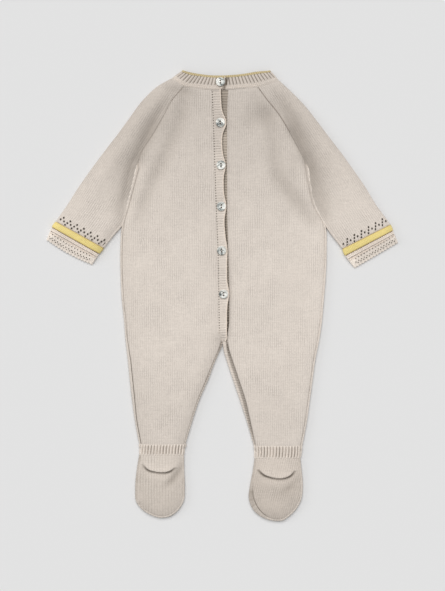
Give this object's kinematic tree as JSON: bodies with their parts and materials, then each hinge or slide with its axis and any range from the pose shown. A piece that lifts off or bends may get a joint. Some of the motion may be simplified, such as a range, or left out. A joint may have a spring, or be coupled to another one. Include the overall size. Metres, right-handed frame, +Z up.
{
  "type": "baby romper",
  "caption": "Long-sleeved footed baby romper in fine knit, laid flat on its front: ribbed collar, buttoned back opening, coloured wrist welts and ribbed ankles.",
  "frame": {"origin": "below the middle of the garment's outline, on the surface it lies on", "axes": "+Y from the feet to the neck, +Z up out of the surface, +X to the right as seen from above with the neck at the top"},
  "size_m": [0.4218, 0.5415, 0.0111],
  "materials": {
    "knit": "fine plain-knit cotton in ecru, matt, with upright rows of stitches",
    "rib_knit": "ribbed cotton knit in the same ecru, a little deeper in its grooves",
    "yellow_knit": "soft yellow cotton knit, matt",
    "pearl_button": "pearly grey-white with a slight sheen and a darker rim"
  },
  "bodies": {
    "root": {"front_panel": "knit", "back_panel_left": "knit", "back_panel_right": "knit", "sleeve_left": "knit", "sleeve_right": "knit", "collar": "rib_knit", "collar_tipping": "yellow_knit", "buttonhole_band": "rib_knit", "button_band": "rib_knit", "inseam_band_left": "rib_knit", "inseam_band_right": "rib_knit", "cuff_welt_left": "yellow_knit", "cuff_welt_right": "yellow_knit", "cuff_hem_left": "knit", "cuff_hem_right": "knit", "ankle_rib_left": "rib_knit", "ankle_rib_right": "rib_knit", "foot_upper_left": "knit", "foot_upper_right": "knit", "foot_sole_left": "knit", "foot_sole_right": "knit", "button_1": "pearl_button", "button_2": "pearl_button", "button_3": "pearl_button", "button_4": "pearl_button", "button_5": "pearl_button", "button_6": "pearl_button"}
  },
  "joints": []
}
